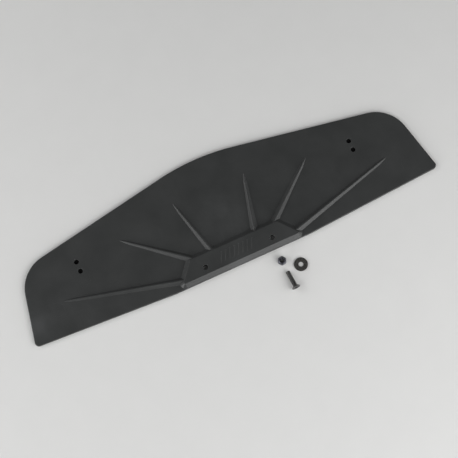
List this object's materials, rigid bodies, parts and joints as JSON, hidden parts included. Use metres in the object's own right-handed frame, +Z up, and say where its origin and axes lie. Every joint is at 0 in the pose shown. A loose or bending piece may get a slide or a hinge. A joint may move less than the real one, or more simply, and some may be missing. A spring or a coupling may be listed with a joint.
{
  "type": "radio-controlled car front spoiler plate",
  "caption": "Flat swept moulded spoiler plate with a raised mounting pad, tapering ribs and fixing holes, with a loose countersunk screw, washer and lock nut.",
  "frame": {"origin": "midway between the two pad holes, level with the plate's flat underside", "axes": "+X along the span, +Y towards the leading edge, +Z up, away from the surface the plate lies on"},
  "size_m": [0.3796, 0.1409, 0.0075],
  "materials": {
    "moulded_plastic": "fine satin grain, black glass-filled nylon",
    "blackened_steel": "black oxide with a thin oil film",
    "oiled_steel": "blackened, stamped, slightly worn at the rims",
    "blackened_nut_steel": "black oxide, bluish",
    "insert_nylon": "dark polyamide ring"
  },
  "bodies": {
    "plate": {"spoiler_plate": "moulded_plastic"},
    "screw": {"countersunk_screw": "blackened_steel"},
    "washer": {"flat_washer": "oiled_steel"},
    "nut": {"lock_nut": "blackened_nut_steel", "nut_insert": "insert_nylon"}
  },
  "joints": [
    {"name": "screw_lift", "type": "slide", "parent": "plate", "child": "screw", "axis": [0, 0, 1], "range_m": [0, 0.06]},
    {"name": "washer_lift", "type": "slide", "parent": "plate", "child": "washer", "axis": [0, 0, 1], "range_m": [0, 0.06]},
    {"name": "nut_lift", "type": "slide", "parent": "plate", "child": "nut", "axis": [0, 0, 1], "range_m": [0, 0.06]}
  ]
}
